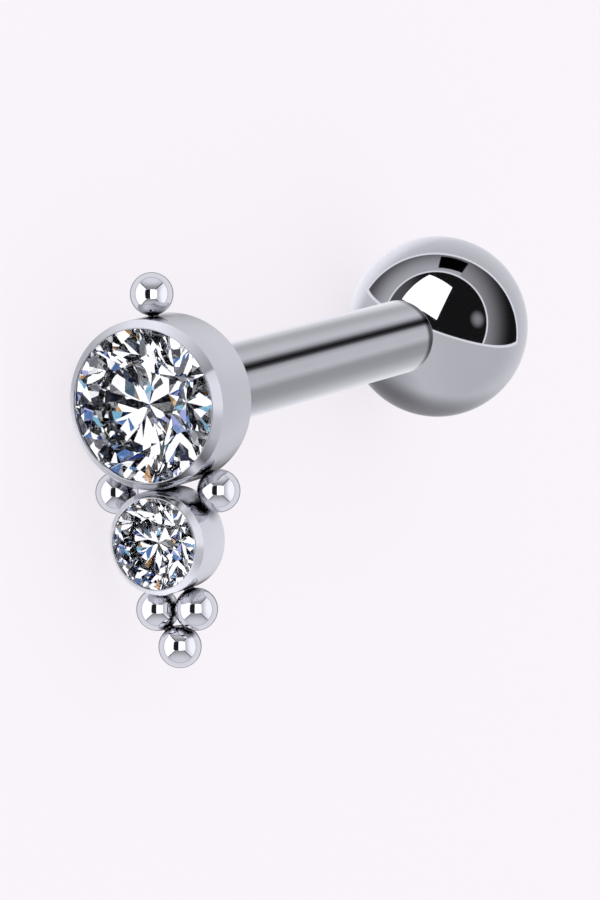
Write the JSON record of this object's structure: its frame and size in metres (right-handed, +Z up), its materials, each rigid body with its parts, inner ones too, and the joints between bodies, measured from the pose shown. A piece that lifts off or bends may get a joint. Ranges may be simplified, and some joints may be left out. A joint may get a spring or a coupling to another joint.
{
  "type": "piercing barbell",
  "caption": "Straight piercing barbell lying on its side: bezel-set round stones and small beads on its head, a plain post and a screw-on ball.",
  "frame": {"origin": "centre of the underside of the bounding box, on the surface that the barbell lies on", "axes": "+Z up from that surface, +Y from the head towards the ball over the post, +X towards the lower end of the head"},
  "size_m": [0.006, 0.0122, 0.003],
  "materials": {
    "polished_steel": "mirror-polished surgical steel",
    "clear_stone": "cut and polished clear cubic zirconia"
  },
  "bodies": {
    "head_and_post": {"setting": "polished_steel", "large_stone": "clear_stone", "small_stone": "clear_stone"},
    "ball_end": {"ball": "polished_steel"}
  },
  "joints": [
    {"name": "ball_unscrew", "type": "slide", "parent": "head_and_post", "child": "ball_end", "axis": [0, 0.9998, 0.0207], "range_m": [0, 0.0085]}
  ]
}
